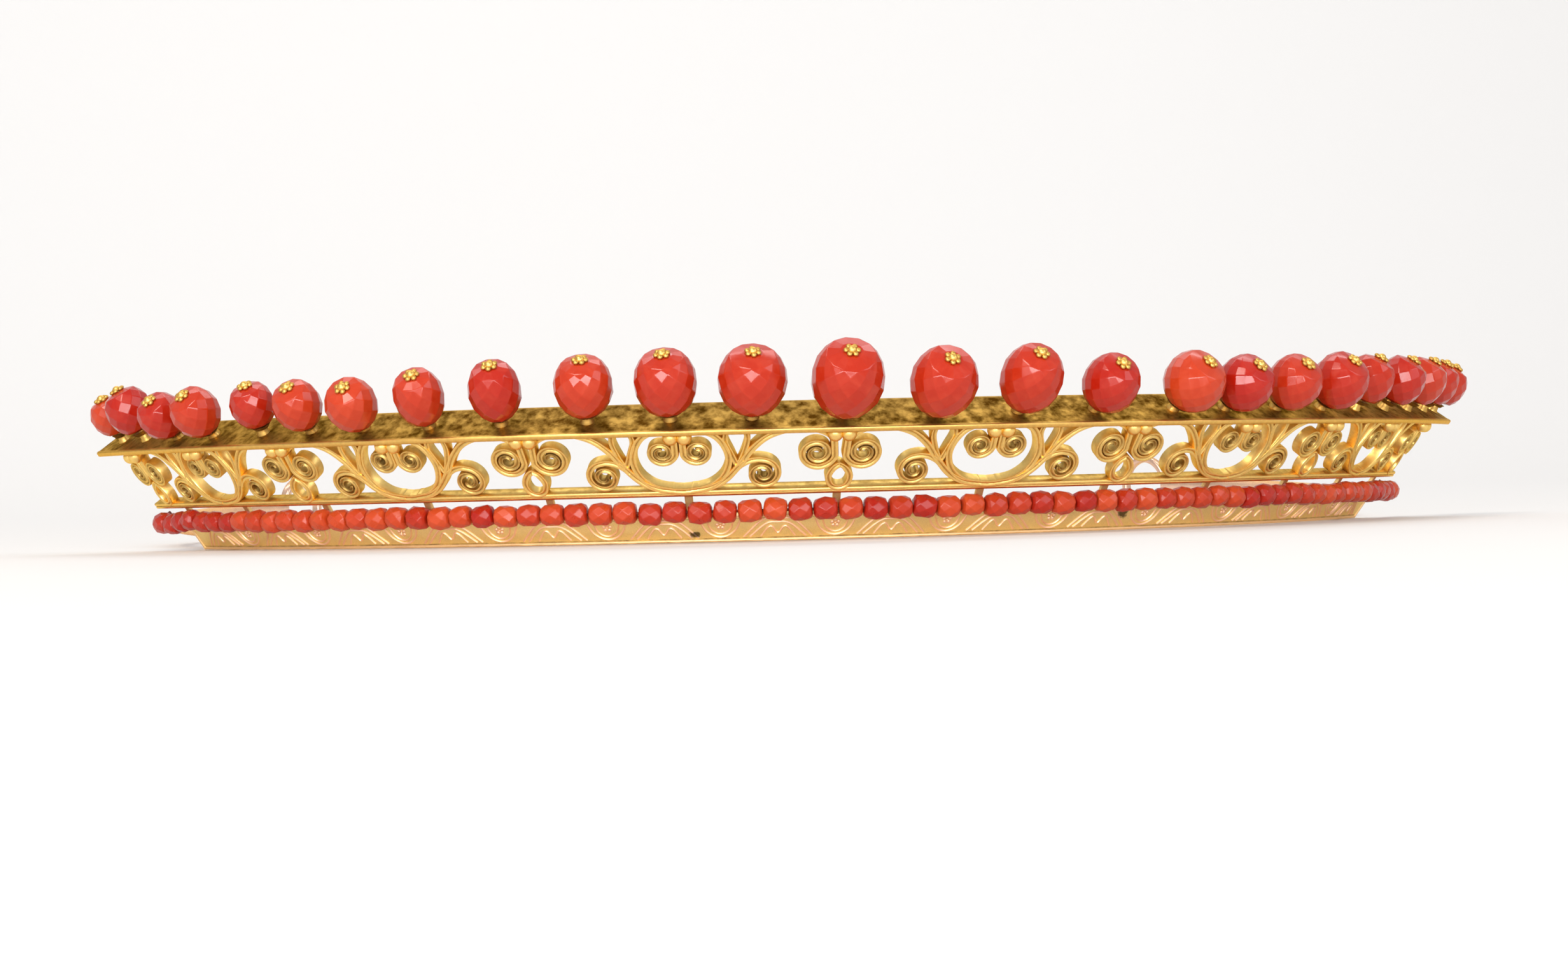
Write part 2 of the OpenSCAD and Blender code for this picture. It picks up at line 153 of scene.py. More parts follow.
class DiademSizes(bpy.types.PropertyGroup):
    """Sizes of the diadem, in millimetres and degrees, as the frame has them."""

    hoop_r: millimetres("Hoop radius", "Outer radius of the hoop from above", 73)
    wire_w: millimetres("Wire width", "Width of the hoop wire, outward", 2.3)
    wire_h: millimetres("Wire height", "Height of the hoop wire", 1.9)
    eye_angle: degrees("Eye angle", "Angle from the front centre to an end eye", 124)
    eye_d: millimetres("Eye diameter", "Outer diameter of an end eye", 8.2)
    eye_bore: millimetres("Eye bore", "Bore of an end eye", 6.5)
    eye_len: millimetres("Eye length", "Length of an end eye along its bore", 1.2)
    lug_angle: degrees("Lug angle", "Angle from the front centre to a lug", 56)
    lug_w: millimetres("Lug width", "Width of a lug along the wire", 2.4)
    wall_r: millimetres("Wall radius", "Radius of the wall at its lower edge", 75.6)
    flare: degrees("Flare", "Lean of the wall outward from upright", 36)
    band_h: millimetres("Band height", "Height of the band along the wall", 3.25)
    band_t: millimetres("Band thickness", "Thickness of the band's plate", 0.7)
    band_half: degrees("Band end", "Angle to each end of the band", 60)
    border_w: millimetres("Border width", "Width of the raised border", 0.32)
    relief: millimetres("Relief", "How far the border stands out", 0.15)
    peaks: bpy.props.IntProperty(
        name="Peaks", description="Number of peaked units along the band", default=14, min=6)
    string_d: millimetres("String bead", "Diameter of the string's beads", 2.4)
    string_half: bpy.props.IntProperty(
        name="String beads", description="Number of beads on half of the string", default=35, min=8)
    string_end: degrees("String end", "Angle to each end of the string", 63)
    string_out: millimetres("String offset", "How far the thread lies in front of the wall", 1.15)
    mid_h: millimetres("Middle rail height", "Height of the middle rail along the wall", 0.7)
    mid_depth: millimetres("Middle rail depth", "Depth of the middle rail", 1.3)
    gallery_h: millimetres("Gallery height", "Height of the open scrollwork", 7.8)
    scroll_depth: millimetres("Strip depth", "Depth of the scroll strips", 1.1)
    strip_t: millimetres("Strip thickness", "Thickness of the scroll strips", 0.74)
    motif_end: degrees("Last motif", "Angle to the last motif at each end", 60)
    motif_shrink: proportion("Motif shrink", "How much the motifs draw together", 0.018)
    granule_d: millimetres("Granule", "Diameter of the paired granules", 1.6)
    rail_t: millimetres("Rail thickness", "Thickness of the bead rail", 0.6)
    rail_in: millimetres("Rail inside", "Depth of the rail inside the wall", 2.7)
    rail_out: millimetres("Rail outside", "Depth of the rail outside the wall", 2.3)
    rail_half: degrees("Rail end", "Angle to each end of the rails", 63)
    post_h: millimetres("Post height", "Height of the post under a cup", 0.6)
    cup_h: millimetres("Cup height", "Height of a bead cup", 0.4)
    pin_d: millimetres("Pin", "Diameter of the pins", 0.8)
    floret_d: millimetres("Floret", "Diameter of the floret on a pin's end", 1.7)
    bead_end: degrees("Last bead", "Angle to the last bead at each end", 61.1)
    bead_shrink: proportion("Bead shrink", "How much the beads draw together", 0.0132)
    bead_w: millimetres("Bead width", "Widest bead, across", 7.1)
    bead_len: millimetres("Bead length", "Longest bead, along its pin", 7.25)


class DiademColours(bpy.types.PropertyGroup):
    """Colours of the diadem's metals and corals."""

    gallery: colour("Gallery gilt", "Yellow gilding of the scrollwork", "#F9D480")
    band: colour("Band gilt", "Matte gilding of the band", "#FFE8A6")
    lines: colour("Raised lines", "Pinker gilding of the band's raised lines", "#FFD9B8")
    rail: colour("Rail gilt", "Gilding of the bead rail", "#E8BC68")
    # brown of the real patina, also used as painted shade in grooves, spiral hearts and bead cups
    patina: colour("Patina", "Brown patina and painted shade in hollows", "#5A3A12")
    hoop: colour("Hoop gilt", "Rose gilding of the hoop", "#F6CDB2")
    coral: colour("Coral", "Red coral", "#A4130A")
    coral_pale: colour("Pale coral", "Paler, pinker growth in the coral", "#B42E20")
    thread: colour("Thread", "Silk thread of the string", "#6A2A1E")
    floor: colour("Floor", "Floor and backdrop", "#DCDAD8")


def wall_radius(z, s):
    """Radius of the wall's outer face at height s along it: the foot's plus s sin(lean)."""
    return z.wall_r + s * math.sin(math.radians(z.flare))


def levels(z):
    """Heights along the wall of the string's thread and of the lower edges above it."""
    string = z.band_h + STRING_GAP + z.string_d / 2
    mid = string + z.string_d / 2 + STRING_GAP
    gallery = mid + z.mid_h
    rail = gallery + z.gallery_h + GAP
    return {"string": string, "mid": mid, "gallery": gallery, "rail": rail,
            "posts": rail + z.rail_t}


def xyz(x, y, z):
    """Points from their coordinates, spread to one common shape."""
    return np.stack(np.broadcast_arrays(x, y, z), -1)


def on_wall(z, angle, s, out):
    """Points on a cone that leans outward: radius is the foot's plus s sin(lean) plus out
    cos(lean), height is s cos(lean) less out sin(lean), turned by the angle from -Y to +X."""
    lean, a = math.radians(z.flare), np.radians(angle)
    r = z.wall_r + s * math.sin(lean) + out * math.cos(lean)
    up = z.relief * math.sin(lean) + s * math.cos(lean) - out * math.sin(lean)
    return xyz(r * np.sin(a), -r * np.cos(a), up)


def spread(i, last, end, shrink):
    """Angle of the i-th of things that draw together towards the last, which is at end: i times
    (1 less shrink times i), scaled so that the last one comes out at end."""
    return float(end * i * (1 - shrink * abs(i)) / (last * (1 - shrink * last)))


def motif_angle(z, i):
    """Angle of a motif of the gallery, counted from the middle one."""
    return spread(i, 6, z.motif_end, z.motif_shrink)


def bead_angle(z, i):
    """Angle of a top bead, counted from the left end."""
    return spread(i - 12, 12, z.bead_end, z.bead_shrink) + BEADS[i, SHIFT]


def pin_turn(z, i):
    """Turns local Z to the way that a bead's pin points."""
    lean = turned(x=BEADS[i, LEAN_OUT], y=BEADS[i, LEAN_SIDE])
    return turned(z=bead_angle(z, i)) @ turned(x=z.flare) @ lean


def turned(x=0.0, y=0.0, z=0.0):
    """The matrix that turns about X, then Y, then Z, by angles in degrees."""
    (cx, cy, cz), (sx, sy, sz) = (f(np.radians([x, y, z])) for f in (np.cos, np.sin))
    rx = np.array([[1, 0, 0], [0, cx, -sx], [0, sx, cx]])
    ry = np.array([[cy, 0, sy], [0, 1, 0], [-sy, 0, cy]])
    rz = np.array([[cz, -sz, 0], [sz, cz, 0], [0, 0, 1]])
    return rz @ ry @ rx


def smooth(points, steps=6):
    """A smooth line through the points: each span blends its four neighbours by cubic weights."""
    p = np.asarray(points, float)
    q = np.vstack([2 * p[:1] - p[1:2], p, 2 * p[-1:] - p[-2:-1]])
    t = np.linspace(0, 1, steps, endpoint=False)[None, :, None]
    a, b, c, d = (q[i:len(q) - 3 + i, None] for i in range(4))
    line = 0.5 * (2 * b + (c - a) * t + (2 * a - 5 * b + 4 * c - d) * t ** 2
                  + (3 * b - a - 3 * c + d) * t ** 3)
    return np.vstack([line.reshape(-1, p.shape[1]), p[-1:]])


def spiral(heart, r_out, r_in, start, turns):
    """A spiral that winds inward: the radius falls from r_out to r_in while the angle runs on."""
    steps_a_turn = 26
    t = np.linspace(0, 1, int(abs(turns) * steps_a_turn))
    r = r_out + (r_in - r_out) * t ** 0.92
    a = np.radians(start + 360 * turns * t)
    return np.asarray(heart) + r[:, None] * np.stack([np.cos(a), np.sin(a)], -1)


def even(line, spacing):
    """The same line with its points at an even spacing along it."""
    d = np.r_[0, np.cumsum(np.linalg.norm(np.diff(line, axis=0), axis=1))]
    t = np.linspace(0, d[-1], max(3, int(d[-1] / spacing) + 1))
    return np.stack([np.interp(t, d, line[:, k]) for k in range(line.shape[1])], -1)


def rounded(width, height, radius, steps=3):
    """The outline of a rectangle whose corners are quarter circles."""
    t = np.linspace(0, math.pi / 2, steps + 1)
    corners = []
    for k, (sx, sy) in enumerate([(1, 1), (-1, 1), (-1, -1), (1, -1)]):
        a = t + k * math.pi / 2
        corners.append(np.stack([sx * (width / 2 - radius) + radius * np.cos(a),
                                 sy * (height / 2 - radius) + radius * np.sin(a)], -1))
    return np.vstack(corners)


class Shell:
    """Collects the surfaces of one piece, with a value per point for each named attribute."""

    def __init__(self, *names):
        self.verts, self.faces, self.count = [], [], 0
        self.values = {name: [] for name in names}

    def add(self, verts, blocks, **values):
        """Adds points (n by 3) and blocks of faces, each block an array of corner numbers."""
        self.verts.append(verts.reshape(-1, 3))
        n = len(self.verts[-1])
        for block in blocks:
            self.faces += (np.asarray(block) + self.count).tolist()
        for name, store in self.values.items():
            store.append(np.broadcast_to(np.asarray(values.get(name, 0.0), float).ravel(), n))
        self.count += n

    def grid(self, points, closed_u=False, **values):
        """A surface from points[i, j]: j runs round a closed section and i along the path,
        which is closed too or has a flat end on each side. Values spread over the points."""
        n, m = points.shape[:2]
        i, j = np.meshgrid(np.arange(n if closed_u else n - 1), np.arange(m), indexing="ij")
        k, l = (i + 1) % n, (j + 1) % m
        blocks = [np.stack([i * m + j, k * m + j, k * m + l, i * m + l], -1).reshape(-1, 4)]
        if not closed_u:
            ring = np.arange(m)
            blocks.append([ring, (n - 1) * m + ring[::-1]])
        spread_out = {name: np.broadcast_to(value, (n, m)) for name, value in values.items()}
        self.add(points, blocks, **spread_out)

    def ball(self, centre, radii, turn, rings, sides, **values):
        """A ball: sine and cosine rings between two poles, scaled by its three radii."""
        v = np.linspace(0, math.pi, rings + 1)[1:-1]
        u = np.linspace(0, 2 * math.pi, sides, endpoint=False)
        v, u = np.meshgrid(v, u, indexing="ij")
        p = xyz(np.sin(v) * np.cos(u), np.sin(v) * np.sin(u), np.cos(v)).reshape(-1, 3)
        p = np.vstack([p, [[0, 0, 1], [0, 0, -1]]]) * radii @ turn.T + centre
        i, j = np.meshgrid(np.arange(rings - 2) * sides, np.arange(sides), indexing="ij")
        k = (j + 1) % sides
        quads = np.stack([i + j, i + sides + j, i + sides + k, i + k], -1)
        first = np.arange(sides)
        after = (first + 1) % sides
        last = (rings - 2) * sides
        top = np.stack([0 * first + len(p) - 2, first, after], -1)
        low = np.stack([0 * first + len(p) - 1, last + after, last + first], -1)
        self.add(p, [quads.reshape(-1, 4), top, low], **values)

    def lathe(self, profile, origin, turn, sides=20, **values):
        """A turned shape: radius and height pairs swung round the local Z axis, with flat ends."""
        profile = np.asarray(profile, float)
        a = np.linspace(0, 2 * math.pi, sides, endpoint=False)
        r, h = profile[:, :1], profile[:, 1:]
        self.grid(xyz(r * np.cos(a), r * np.sin(a), h) @ turn.T + origin, **values)

    def build(self, name, look, replaces, sharp, bevel=0.0):
        """Makes the piece: metres, outward faces, smooth shading broken at sharp edges."""
        mesh = bpy.data.meshes.new(name)
        mesh.from_pydata((np.vstack(self.verts) / 1000).tolist(), [], self.faces)
        for key, store in self.values.items():
            mesh.attributes.new(key, "FLOAT", "POINT").data.foreach_set(
                "value", np.concatenate(store).astype(np.float32))
        mesh.validate()
        shells = bmesh.new()
        shells.from_mesh(mesh)
        bmesh.ops.recalc_face_normals(shells, faces=shells.faces)
        shells.to_mesh(mesh)
        shells.free()
        obj = add_object(name, mesh)
        mesh.shade_smooth()
        mesh.set_sharp_from_angle(angle=math.radians(sharp))
        mesh.materials.append(look)
        if bevel:
            mod = obj.modifiers.new("Polished edges", "BEVEL")
            mod.width, mod.segments, mod.limit_method = bevel / 1000, 2, "ANGLE"
            mod.angle_limit = math.radians(12)
        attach(obj, "root")
        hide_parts(*replaces)


def add_object(name, data):
    """A new object in the scene."""
    obj = bpy.data.objects.new(name, data)
    bpy.context.scene.collection.objects.link(obj)
    return obj


def fill(tree, node, inputs):
    """Sets or links a node's inputs by name or number."""
    for key, value in inputs.items():
        if isinstance(value, bpy.types.NodeSocket):
            tree.links.new(value, node.inputs[key])
        else:
            node.inputs[key].default_value = value


def put(tree, kind, inputs=None, **settings):
    """Adds a node with its settings and inputs."""
    node = tree.nodes.new(kind)
    for key, value in settings.items():
        setattr(node, key, value)
    fill(tree, node, inputs or {})
    return node


def calc(tree, operation, *values, clamp=False):
    """One step of arithmetic."""
    return put(tree, "ShaderNodeMath", dict(enumerate(values)), operation=operation,
               use_clamp=clamp).outputs[0]


def remap(tree, value, start, end, low, high):
    """A value carried from the range start to end over to the range low to high."""
    return put(tree, "ShaderNodeMapRange", {"Value": value, "From Min": start, "From Max": end,
                                            "To Min": low, "To Max": high}).outputs[0]


def material(name):
    """An empty material with one surface shader, as (material, tree, shader)."""
    m = bpy.data.materials.new(name)
    m.use_nodes = True
    m.node_tree.nodes.clear()
    shader = put(m.node_tree, "ShaderNodeBsdfPrincipled")
    put(m.node_tree, "ShaderNodeOutputMaterial", {"Surface": shader.outputs[0]})
    return m, m.node_tree, shader


def mixed_over(tree, factor, under, over):
    """A mix of two colours by a factor. The mix node has one set of sockets for each kind of
    value, so its colour sockets are found by name and kind."""
    mix = put(tree, "ShaderNodeMix", {"Factor": factor}, data_type="RGBA")
    first, second = [k for k, s in enumerate(mix.inputs) if s.name in "AB" and s.type == "RGBA"]
    fill(tree, mix, {first: under, second: over})
    return mix.outputs[2]


def gilt(name, base, dirt, roughness, grain_mm, bump_um, dirt_share, worn=0.0):
    """Gilt brass: metal that is a little rougher in patches, with fine tool grain, and brown
    patina and painted shade where a point attribute asks for them, broken up by two sizes of noise."""
    m, t, shader = material(name)
    place = put(t, "ShaderNodeTexCoord").outputs["Object"]
    # blotches about 1.2 mm across make the patina and painted shade uneven at arm's length
    blotch = put(t, "ShaderNodeTexNoise", {"Vector": place, "Scale": 850.0, "Detail": 4.0,
                                           "Roughness": 0.62}).outputs["Fac"]
    fine = put(t, "ShaderNodeTexNoise", {"Vector": place, "Scale": 1000.0 / grain_mm,
                                         "Detail": 3.0}).outputs["Fac"]
    # how dark each point is painted: real patina, and painted shade in grooves, spiral hearts and
    # bead cups
    gathered = put(t, "ShaderNodeAttribute", attribute_name="grime").outputs["Fac"]
    share = calc(t, "MULTIPLY", gathered, remap(t, blotch, 0.35, 0.65, 0.45, 1.1))
    share = calc(t, "MULTIPLY", share, dirt_share, clamp=True)
    tint = calc(t, "ADD", remap(t, fine, 0.3, 0.7, -0.06 - worn, 0.06), 1.0)
    toned = put(t, "ShaderNodeHueSaturation", {"Color": tuple(base), "Value": tint}).outputs[0]
    rough = remap(t, blotch, 0.3, 0.7, roughness - 0.06, roughness + 0.09)
    bump = put(t, "ShaderNodeBump", {"Height": fine, "Strength": 0.5, "Distance": bump_um * 1e-6})
    fill(t, shader, {
        "Base Color": mixed_over(t, share, toned, tuple(dirt)),
        "Roughness": calc(t, "ADD", rough, calc(t, "MULTIPLY", share, 0.25)),
        "Metallic": 1.0,
        # gilding stays gold where it is seen edge on
        "Specular Tint": linear("#F6D9A0"),
        "Normal": bump.outputs[0]})
    return m


def cut_coral(name, base, pale, roughness):
    """Precious coral, cut and polished: opaque red with paler growth lines, a slight
    translucency at the edges, and a wax-like gloss that varies a little."""
    m, t, shader = material(name)
    place = put(t, "ShaderNodeTexCoord").outputs["Object"]
    # growth marks about 1.5 mm apart show as faint paler clouds
    cloud = put(t, "ShaderNodeTexNoise", {"Vector": place, "Scale": 650.0, "Detail": 3.0,
                                          "Roughness": 0.55, "Distortion": 0.6}).outputs["Fac"]
    tone = put(t, "ShaderNodeAttribute", attribute_name="tone").outputs["Fac"]
    pale_share = calc(t, "ADD", remap(t, cloud, 0.42, 0.72, 0.0, 0.45),
                      calc(t, "MULTIPLY", tone, 0.5), clamp=True)
    # no two beads come from the same branch, so each has its own depth of colour
    own = put(t, "ShaderNodeHueSaturation", {
        "Color": mixed_over(t, pale_share, tuple(base), tuple(pale)),
        "Value": remap(t, tone, 0, 1, 0.88, 1.12), "Hue": remap(t, tone, 0, 1, 0.501, 0.511)})
    grain = put(t, "ShaderNodeTexNoise", {"Vector": place, "Scale": 2600.0, "Detail": 2.0})
    bump = put(t, "ShaderNodeBump", {"Height": grain.outputs["Fac"], "Strength": 0.35,
                                     "Distance": 8e-6})
    fill(t, shader, {
        "Base Color": own.outputs[0],
        "Roughness": remap(t, cloud, 0.3, 0.7, roughness - 0.05, roughness + 0.08),
        "IOR": 1.42,
        "Subsurface Weight": 0.03,
        "Subsurface Radius": (1.0, 0.25, 0.15),
        "Subsurface Scale": 0.0012,
        "Normal": bump.outputs[0]})
    return m


def silk(dye):
    """Twisted silk: matt, with plies that show as a fine lighter and darker twist."""
    m, t, shader = material("silk_thread")
    place = put(t, "ShaderNodeTexCoord").outputs["Object"]
    # two plies that turn once in about 0.8 mm
    twist = put(t, "ShaderNodeTexWave", {"Vector": place, "Scale": 400.0, "Distortion": 2.0},
                bands_direction="DIAGONAL").outputs["Fac"]
    tinted = put(t, "ShaderNodeHueSaturation", {"Color": tuple(dye),
                                                "Value": remap(t, twist, 0, 1, 0.7, 1.2)})
    fill(t, shader, {"Base Color": tinted.outputs[0], "Roughness": 0.7})
    return m


def strip_section(width, depth):
    """The section of a scroll strip: its front edge has a rounded rib on each side of a groove.
    Columns are across, outward and painted shade: darkest in the groove, a little on the back edges
    and sides, none on the ribs."""
    w, d = width / 2, depth / 2
    return np.array([
        [-w, -d, 0.3], [w, -d, 0.3], [w, d - 0.16, 0.1], [w * 0.86, d - 0.03, 0.0],
        [w * 0.55, d, 0.0], [w * 0.22, d - 0.07, 0.3], [0.0, d - 0.13, 0.75],
        [-w * 0.22, d - 0.07, 0.3], [-w * 0.55, d, 0.0], [-w * 0.86, d - 0.03, 0.0],
        [-w, d - 0.16, 0.1],
    ])


def directions(step):
    """Directions of length 1 along a flat line and square to it, from the steps along it."""
    step = step / np.linalg.norm(step, axis=1, keepdims=True)
    return step, np.stack([-step[:, 1], step[:, 0]], -1)


def lay_rail(shell, z, end, foot, section, steps=360, **values):
    """Carries a section along the wall between two ends. Its columns are up from the foot,
    outward and how dark it is painted there, for patina and painted shade."""
    up, out, dirt = section.T[:, None]
    turn = np.linspace(-end, end, steps)[:, None]
    shell.grid(on_wall(z, turn, foot + up, out), grime=dirt, **values)


def lay_strip(shell, z, line, centre, section, closed=False):
    """Carries a section along a line on the wall: across is the line's own normal in the
    wall, and outward is the wall's. line is in mm from the centre angle and up the wall. The
    strip is drawn thinner where the line bends tightly, by its radius of curvature, and those
    tight hearts are painted dark as shade."""
    gallery_s = levels(z)["gallery"]
    spacing, window = 0.13, 13
    line = even(line, spacing)
    if closed:
        line = line[:-1]
        step = np.roll(line, -1, 0) - np.roll(line, 1, 0)
    else:
        step = np.gradient(line, axis=0)
    step, normal = directions(step)
    bend = np.linalg.norm(np.gradient(step, axis=0), axis=1) / spacing
    bend = np.convolve(np.pad(bend, window // 2, mode="edge"), np.ones(window) / window,
                       mode="valid")
    # 0 where the line's radius is over 1.8 mm, 1 where it is under 0.6 mm
    tight = np.clip((bend - 0.55) / 1.1, 0, 1)
    taper = 1 - (0.2 if closed else 0.34) * tight
    if not closed:
        taper[[0, -1]] *= 0.6
        taper[[1, -2]] *= 0.88
    p = line[:, None] + normal[:, None] * (section[None, :, :1] * taper[:, None, None])
    middle = wall_radius(z, gallery_s + z.gallery_h / 2)
    angle = centre + np.degrees(p[..., 0] / middle)
    # painted shade: the section's own, and full shade in the tight hearts of open lines
    shade = np.clip(section[None, :, 2] + tight[:, None] * (not closed), 0, 1)
    shell.grid(on_wall(z, angle, gallery_s + p[..., 1], section[None, :, 1]), closed_u=closed,
               grime=shade)


def scroll_gallery(z, metal):
    """The pierced gallery: lyre rings, stems that arch over into large spirals, leaf loops,
    curls, foot loops and granule pairs, all of one grooved strip, on the middle rail."""
    gallery_s = levels(z)["gallery"]
    high = z.gallery_h - z.strip_t / 2
    middle = wall_radius(z, gallery_s + z.gallery_h / 2)
    section = strip_section(z.strip_t, z.scroll_depth)
    shell = Shell("grime")
    for i in range(-6, 7):
        centre = motif_angle(z, i)
        gaps = [middle * math.radians(abs(motif_angle(z, i + side) - centre)) for side in (-1, 1)]
        if i % 2:
            halves = []
            for side, gap in zip((-1, 1), gaps):
                r = min(0.094 * gap, 0.19 * high)
                heart = np.array([0.022 * gap + r, 0.63 * high])
                ring = smooth(np.array(RING) * [gap, high])
                wind = spiral(heart, r, 0.34, 180, 1.8)
                halves.append(np.vstack([ring[:-3], wind[1:]]) * [side, 1])
                arch = smooth(np.array(STEM) * [gap, high])
                big = min(0.125 * gap, 0.25 * high)
                wind = spiral([0.972 * gap - big, 0.57 * high], big, 0.40, 0, -1.95)
                lay_strip(shell, z, np.vstack([arch[:-3], wind[1:]]) * [side, 1], centre, section)
                leaf = smooth(np.array(LEAF) * [gap, high])
                lay_strip(shell, z, leaf * [side, 1], centre, section * [0.8, 0.94, 1])
                r = min(0.235 * high, 0.117 * gap)
                wind = spiral([0.515 * gap, r + 0.015 * high], r, 0.36, 90, -1.75)
                curl = np.array(CURL) * [gap, 2 * (2 * r + 0.03 * high)]
                lead = smooth(np.vstack([curl, wind[:1]]))
                lay_strip(shell, z, np.vstack([lead[:-1], wind]) * [side, 1], centre,
                          section * [0.95, 0.97, 1])
            ring = np.vstack([halves[0][::-1], halves[1][1:]])
            lay_strip(shell, z, ring, centre, section)
        else:
            foot = smooth(np.array(FOOT) * high, 8)
            lay_strip(shell, z, foot, centre, section * [0.95, 0.96, 1], closed=True)
            for side in (-1, 1):
                if abs(i + side) > 6:
                    gap = gaps[0 if side < 0 else 1]
                    big = min(0.125 * gap, 0.25 * high)
                    start = smooth([[0.12 * gap, 0.93 * high], [0.06 * gap, 0.84 * high],
                                    [0.028 * gap, 0.70 * high]])
                    wind = spiral([0.028 * gap + big, 0.57 * high], big, 0.40, 180, 1.95)
                    lay_strip(shell, z, np.vstack([start[:-2], wind[1:]]) * [side, 1], centre,
                              section)
        face = turned(z=centre) @ turned(x=z.flare)
        d = z.granule_d
        for side in (-1, 1):
            spot = on_wall(z, centre, gallery_s + z.gallery_h - 0.72 * d, 0.55 * z.scroll_depth)
            shell.ball(spot + face @ [side * 0.42 * d, 0, 0], np.full(3, d / 2), face, 10, 16,
                       grime=0.0)
        # the collar that ties a granule pair to the rail, painted fully dark: painted shade behind
        # the granules
        box = rounded(1.8 * d, 0.96 * z.scroll_depth, 0.15)
        tall = np.array([gallery_s + z.gallery_h - 0.36 * d, gallery_s + z.gallery_h - 0.04])
        across = np.degrees(box[None, :, 0] / middle)
        shell.grid(on_wall(z, centre + across + 0 * tall[:, None], tall[:, None], box[None, :, 1]),
                   grime=1.0)
    # the middle rail, with a groove along its front; it is painted darkest in the groove, half dark
    # on its back, top and bottom, and clean on its front
    e, h, d = 0.1, z.mid_h, z.mid_depth / 2
    rail = np.array([
        [0, e - d, 0.6], [e, -d, 0.5], [h - e, -d, 0.5], [h, e - d, 0.8], [h, d - e, 0.5],
        [h - e, d, 0.0], [h * 0.6, d, 0.1], [h * 0.5, d - 0.09, 1.0], [h * 0.4, d, 0.1],
        [e, d, 0.0], [0, d - e, 0.5]])
    lay_rail(shell, z, z.rail_half, levels(z)["mid"], rail - [0, 0.2, 0])
    shell.build("scroll_strips", metal, ["scroll_gallery"], sharp=50)


def raised_line(shell, z, points, centre, unit, width):
    """A half-round line on the band: five points of an arch carried along the line."""
    field = z.band_h - 2 * z.border_w - 0.24
    low = z.border_w + 0.12
    line = even(smooth(np.array(points) * [unit, 1.0], 5) * [1, field], 0.22)
    _, normal = directions(np.gradient(line, axis=0))
    arch = np.array([[-0.5, -0.06], [-0.42, 0.05], [0.0, 0.115], [0.42, 0.05], [0.5, -0.06]])
    p = line[:, None] + normal[:, None] * (arch[None, :, :1] * width)
    angle = centre + np.degrees(p[..., 0] / wall_radius(z, z.band_h / 2))
    shell.grid(on_wall(z, angle, low + p[..., 1], arch[None, :, 1]), raised=1.0)


def engraved_band(z, metal):
    """The band: a plate with a rolled border and a sunk line inside it, peaks of three nested
    raised lines, cups between them that hold a rosette, and posts to the middle rail."""
    shell = Shell("grime", "raised")
    b, h, t, r = z.border_w, z.band_h, z.band_t, z.relief
    # the last column is how dark the band is painted: darkest in the sunk line inside the border,
    # part dark on the back, clean on the border's top
    half = [[0.06, -t, 0.4], [0.0, 0.06 - t, 0.4], [0.0, r - 0.08, 0.1], [0.08, r, 0.0],
            [b - 0.08, r, 0.0], [b - 0.02, r - 0.06, 0.2], [b + 0.02, -0.05, 1.0],
            [b + 0.09, -0.02, 0.75], [b + 0.18, 0.0, 0.1]]
    section = np.array(half + [[h - s, o, g] for s, o, g in half[::-1]])
    end = z.band_half
    lay_rail(shell, z, end, 0.0, section, 420, raised=(section[:, 1] > 0.05) * 0.5)
    # the border's short upright at each end of the band
    middle = wall_radius(z, h / 2)
    bar = rounded(b, h - 0.02, 0.06)
    out = np.array([-0.3, r - 0.05, r - 0.01])
    grow = np.array([1.0, 1.0, 0.8])
    inset = math.degrees((b / 2 + 0.01) / middle)
    for side in (-1, 1):
        across = np.degrees(bar[None, :, 0] * grow[:, None] / middle) + side * (end - inset)
        shell.grid(on_wall(z, across, h / 2 + bar[None, :, 1] * (1 - 0.03 * (1 - grow))[:, None],
                           out[:, None]), raised=0.5)
    step = 2 * end / z.peaks
    unit = middle * math.radians(step)
    for k in range(z.peaks):
        centre = -end + (k + 0.5) * step
        for points, width in ((PEAK_OUTER, 0.24), (PEAK_MIDDLE, 0.24), (PEAK_INNER, 0.22)):
            raised_line(shell, z, points, centre, unit, width)
        if k == z.peaks - 1:
            continue
        for points, width in ((CUP_OUTER, 0.24), (CUP_INNER, 0.18)):
            raised_line(shell, z, points, centre, unit, width)
        # a rosette: five petals round a ball
        cup, high = centre + step / 2, h * 0.62
        face = turned(z=cup) @ turned(x=z.flare)
        for petal in range(5):
            a = math.radians(72 * petal + 18)
            spot = face @ np.array([0.34 * math.cos(a), 0, 0.34 * math.sin(a)])
            place = on_wall(z, cup, high, 0.02)
            shell.ball(place + spot, np.array([0.2, 0.1, 0.2]), face, 5, 8, raised=1.0)
        shell.ball(on_wall(z, cup, high, 0.03), np.array([0.13, 0.12, 0.13]), face, 5, 8,
                   raised=0.8)
    # the posts stand under the gallery's motifs, drawn in to the band's ends
    last = z.motif_end + 1.5
    front, back = z.string_out - z.string_d / 2 - GAP, GAP - t
    post = rounded(0.8, front - back, 0.12)
    up = np.array([h - 0.2, levels(z)["mid"] - GAP])
    for i in range(-6, 7):
        centre = motif_angle(z, i) * end / last
        across = centre + np.degrees(post[None, :, 0] / middle) + 0 * up[:, None]
        # the posts are painted a little dark
        shell.grid(on_wall(z, across, up[:, None], post[None, :, 1] + (front + back) / 2),
                   grime=0.3)
    shell.build("band_plate", metal, ["engraved_band"], sharp=45)


